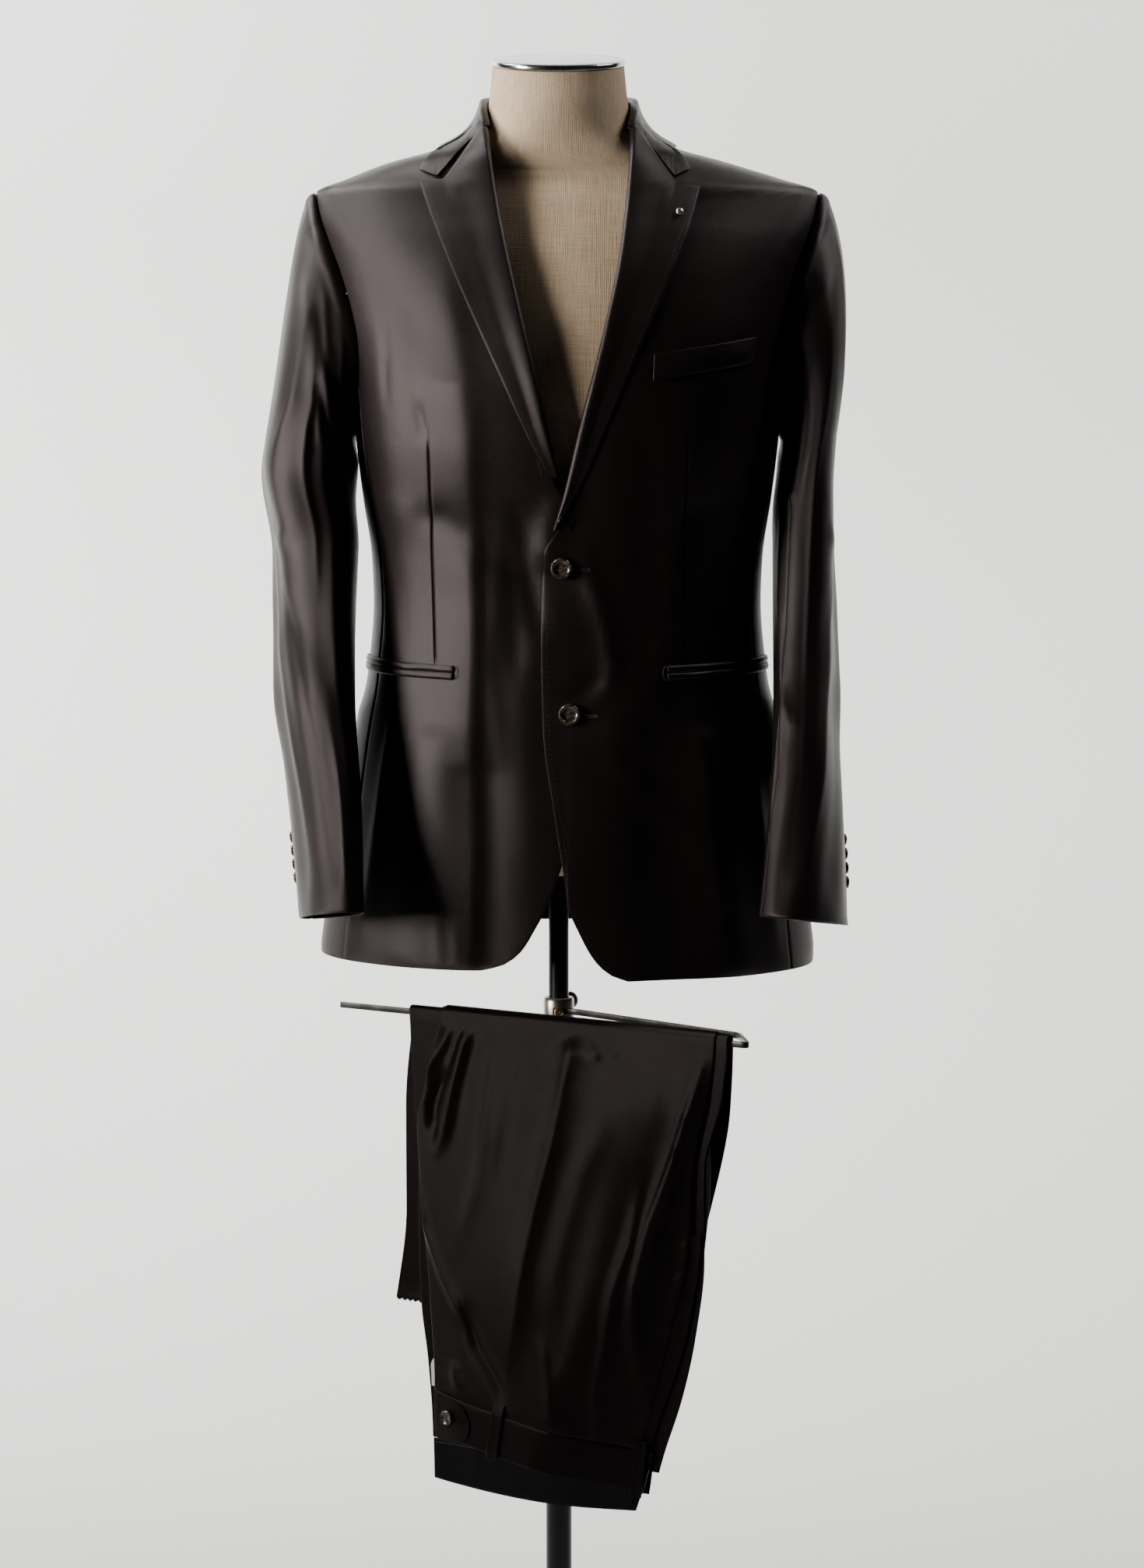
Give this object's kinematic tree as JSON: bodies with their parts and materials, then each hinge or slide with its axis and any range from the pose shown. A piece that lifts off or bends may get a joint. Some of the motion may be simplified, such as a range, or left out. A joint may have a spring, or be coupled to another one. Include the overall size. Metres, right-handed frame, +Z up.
{
  "type": "business suit on dress form",
  "caption": "Business jacket with notched lapels worn by a linen dress form on a height-adjustable pole, its matching trousers hung upside down over a bar on the pole.",
  "frame": {"origin": "on the floor, in the middle of the base's flat underside, on the pole's axis", "axes": "+Z up along the pole; the wearer faces -Y; +X is the wearer's left"},
  "size_m": [0.5301, 0.3668, 1.6133],
  "materials": {
    "jacket_satin": "dark brown-charcoal satin suiting, soft mauve-grey sheen",
    "trouser_satin": "the same suiting as the jacket",
    "lining": "navy-black lining",
    "horn_button": "dark horn-effect resin",
    "linen": "plain beige linen, matt",
    "chrome": "polished chrome",
    "nickel": "satin nickel",
    "brass": "satin brass",
    "black_steel": "black gloss paint on steel",
    "gunmetal": "dark gunmetal",
    "zip_tape": "pale woven zip tape"
  },
  "bodies": {
    "stand": {"base": "black_steel", "lower_tube": "black_steel", "lock_collar": "nickel", "clamp_knob": "black_steel", "bar_screw": "brass", "trouser_bar": "gunmetal", "trouser_front_left": "trouser_satin", "waistband_front_left": "trouser_satin", "trouser_back_left": "trouser_satin", "waistband_back_left": "trouser_satin", "trouser_back_right": "trouser_satin", "waistband_back_right": "trouser_satin", "trouser_front_right": "trouser_satin", "waistband_front_right": "trouser_satin", "pocket_side_right": "trouser_satin", "pocket_side_left": "trouser_satin", "belt_loop_right_1": "trouser_satin", "belt_loop_right_2": "trouser_satin", "belt_loop_left_1": "trouser_satin", "belt_loop_left_2": "trouser_satin", "waistband_lining": "lining", "waistband_tab": "trouser_satin", "trouser_button": "horn_button", "fly_zip": "zip_tape"},
    "rod": {"upper_rod": "black_steel"},
    "form": {"torso": "linen", "neck_cap": "chrome", "front_right": "jacket_satin", "side_right": "jacket_satin", "back_right": "jacket_satin", "lapel_right": "jacket_satin", "sleeve_top_right": "jacket_satin", "sleeve_under_right": "jacket_satin", "front_left": "jacket_satin", "side_left": "jacket_satin", "back_left": "jacket_satin", "lapel_left": "jacket_satin", "sleeve_top_left": "jacket_satin", "sleeve_under_left": "jacket_satin", "collar": "jacket_satin", "pocket_right": "jacket_satin", "pocket_left": "jacket_satin", "breast_welt": "jacket_satin", "button_top": "horn_button", "button_lower": "horn_button", "lapel_stud": "nickel", "cuff_button_right_1": "horn_button", "cuff_button_right_2": "horn_button", "cuff_button_right_3": "horn_button", "cuff_button_right_4": "horn_button", "cuff_button_left_1": "horn_button", "cuff_button_left_2": "horn_button", "cuff_button_left_3": "horn_button", "cuff_button_left_4": "horn_button"}
  },
  "joints": [
    {"name": "height", "type": "slide", "parent": "stand", "child": "rod", "axis": [0, 0, 1], "range_m": [0, 0.2]},
    {"name": "turn", "type": "hinge", "parent": "rod", "child": "form", "pos_m": [0, 0, 0.9], "axis": [0, 0, 1], "continuous": true}
  ]
}
